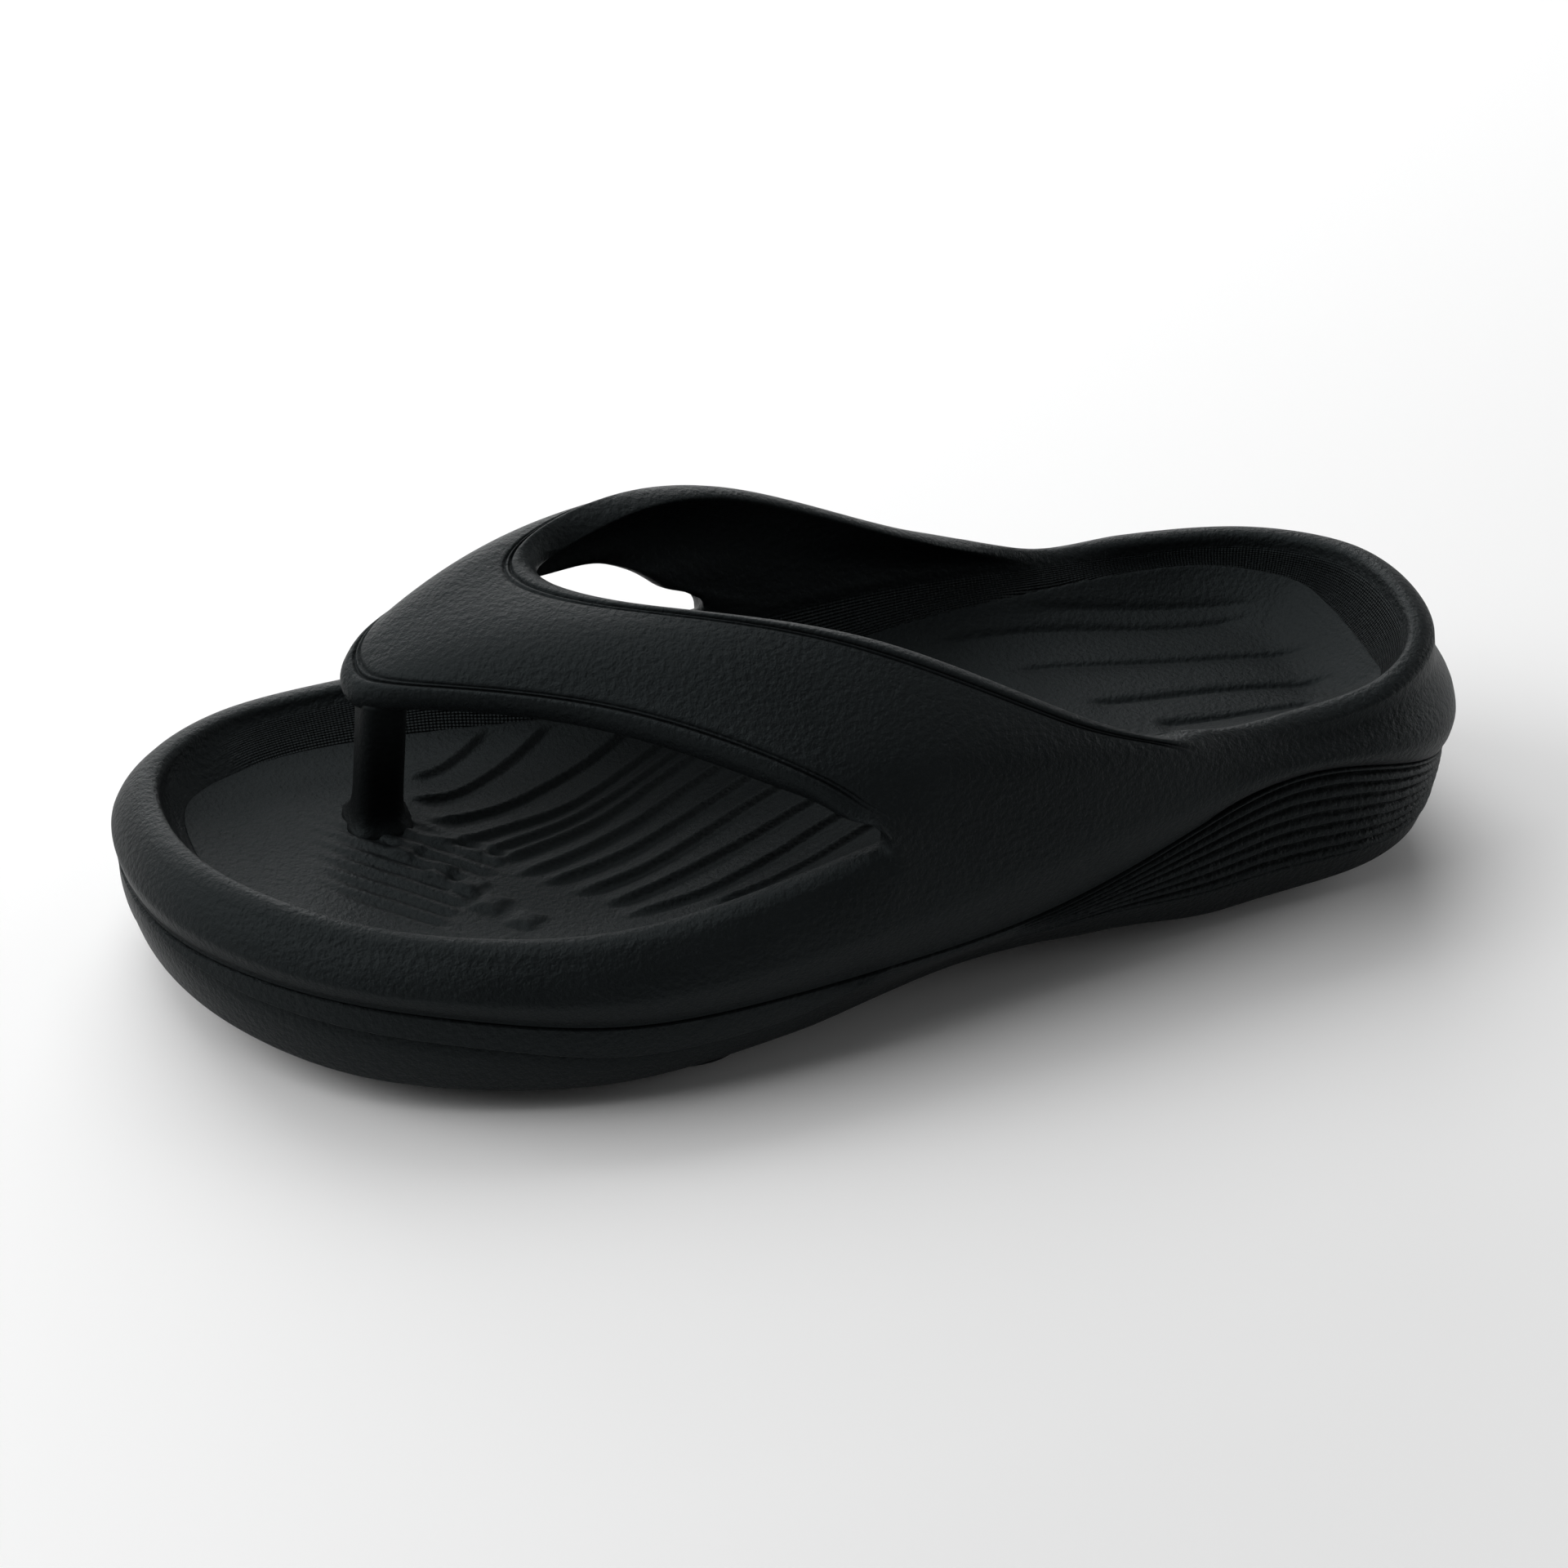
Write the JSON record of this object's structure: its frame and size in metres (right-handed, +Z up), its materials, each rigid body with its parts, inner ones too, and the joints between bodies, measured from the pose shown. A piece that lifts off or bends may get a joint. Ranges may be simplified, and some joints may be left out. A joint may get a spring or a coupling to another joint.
{
  "type": "flip flop",
  "caption": "Left flip flop in black moulded foam: deep rimmed footbed, broad V strap, toe post and thick ribbed sole.",
  "frame": {"origin": "middle of the shoe's bounding box at ground level, where the tread pads stand", "axes": "+Y to the toe, +X to the medial (big toe) side, +Z up"},
  "size_m": [0.1148, 0.28, 0.0787],
  "materials": {
    "foam": "satin moulded EVA foam with a fine leather-like grain",
    "footbed": "matt moulded EVA foam with fine pimples, ridges and terraces",
    "post": "smooth satin elastomer",
    "tread": "matt solid rubber"
  },
  "bodies": {
    "root": {"upper_shell": "foam", "strap": "foam", "lower_sole": "foam", "footbed": "footbed", "toe_post": "post", "forefoot_grip": "tread", "heel_grip": "tread"}
  },
  "joints": []
}
